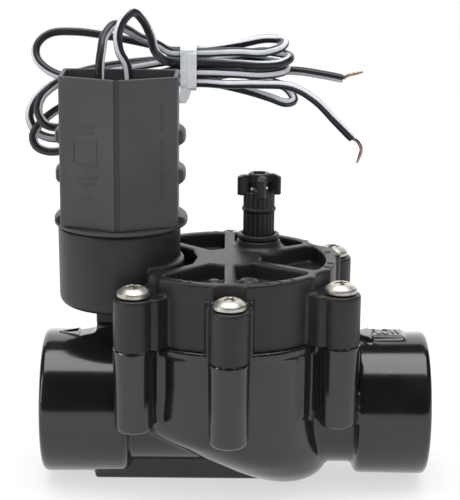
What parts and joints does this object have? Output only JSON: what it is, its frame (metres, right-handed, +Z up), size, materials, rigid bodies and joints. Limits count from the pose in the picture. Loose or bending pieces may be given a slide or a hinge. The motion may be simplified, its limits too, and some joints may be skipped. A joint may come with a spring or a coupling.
{
  "type": "inline solenoid irrigation valve",
  "caption": "Inline one-inch solenoid irrigation valve with slip sockets, flow control handle and a coiled pair of striped leads",
  "frame": {"origin": "on the plane the valve rests on, below the bonnet's axis", "axes": "+Z up through the bonnet, +X towards the inlet socket, front at -Y"},
  "size_m": [0.1185, 0.0844, 0.1362],
  "materials": {
    "body_plastic": "glossy glass-filled black moulding with a fine grain",
    "bonnet_plastic": "satin black moulding",
    "shroud_plastic": "satin warm dark grey moulding",
    "white_plastic": "natural translucent nylon",
    "lead_insulation": "black vinyl insulation with a white stripe",
    "rubber": "moulded black rubber",
    "stainless": "stainless steel, as turned",
    "copper": "bare drawn copper"
  },
  "bodies": {
    "root": {"valve_body": "body_plastic", "bonnet": "bonnet_plastic", "bonnet_screw_1": "stainless", "bonnet_screw_2": "stainless", "bonnet_screw_3": "stainless", "bonnet_screw_4": "stainless", "bonnet_screw_5": "stainless", "bonnet_screw_6": "stainless", "pilot_seat": "white_plastic", "exhaust_seal": "rubber", "flow_gland": "bonnet_plastic", "flow_stem_seal": "rubber"},
    "flow_stop": {"flow_stop": "white_plastic"},
    "flow_handle": {"flow_stem": "stainless", "flow_handle": "bonnet_plastic"},
    "diaphragm": {"diaphragm": "rubber", "diaphragm_plate": "white_plastic", "seat_washer": "rubber", "seat_guide": "white_plastic", "diaphragm_screw": "stainless", "diaphragm_spring": "stainless"},
    "solenoid": {"solenoid_housing": "shroud_plastic", "solenoid_base": "shroud_plastic", "solenoid_seal": "rubber", "core_tube": "stainless", "pole_piece": "stainless", "coil_bobbin": "white_plastic", "coil_winding": "copper", "flux_bracket": "stainless", "lead_grommet_1": "rubber", "lead_grommet_2": "rubber", "lead_wire_1": "lead_insulation", "lead_wire_2": "lead_insulation", "lead_conductor_1": "copper", "lead_conductor_2": "copper", "wire_tie": "white_plastic"},
    "plunger": {"plunger": "stainless", "plunger_seal": "rubber", "plunger_spring": "stainless"}
  },
  "joints": [
    {"name": "flow_stop_travel", "type": "slide", "parent": "root", "child": "flow_stop", "axis": [0, 0, 1], "range_m": [-0.003, 0]},
    {"name": "flow_handle_turn", "type": "hinge", "parent": "flow_stop", "child": "flow_handle", "pos_m": [0.0084, 0.0125, 0.0657], "axis": [0, 0, 1], "range_deg": [-720, 0]},
    {"name": "solenoid_turn", "type": "hinge", "parent": "root", "child": "solenoid", "pos_m": [-0.031, 0, 0.0754], "axis": [0, 0, 1], "range_deg": [0, 90]},
    {"name": "plunger_lift", "type": "slide", "parent": "solenoid", "child": "plunger", "axis": [0, 0, 1], "range_m": [0, 0.0016], "stiffness_N_per_m": 150, "springref_m": -0.004, "deforming": ["plunger_spring"]},
    {"name": "diaphragm_lift", "type": "slide", "parent": "root", "child": "diaphragm", "axis": [0, 0, 1], "range_m": [0, 0.004], "stiffness_N_per_m": 300, "springref_m": -0.01, "deforming": ["diaphragm", "diaphragm_spring"]}
  ],
  "couplings": [
    {"joint": "flow_handle_turn", "follows": "flow_stop_travel", "rad_per_m": 4188.7}
  ]
}
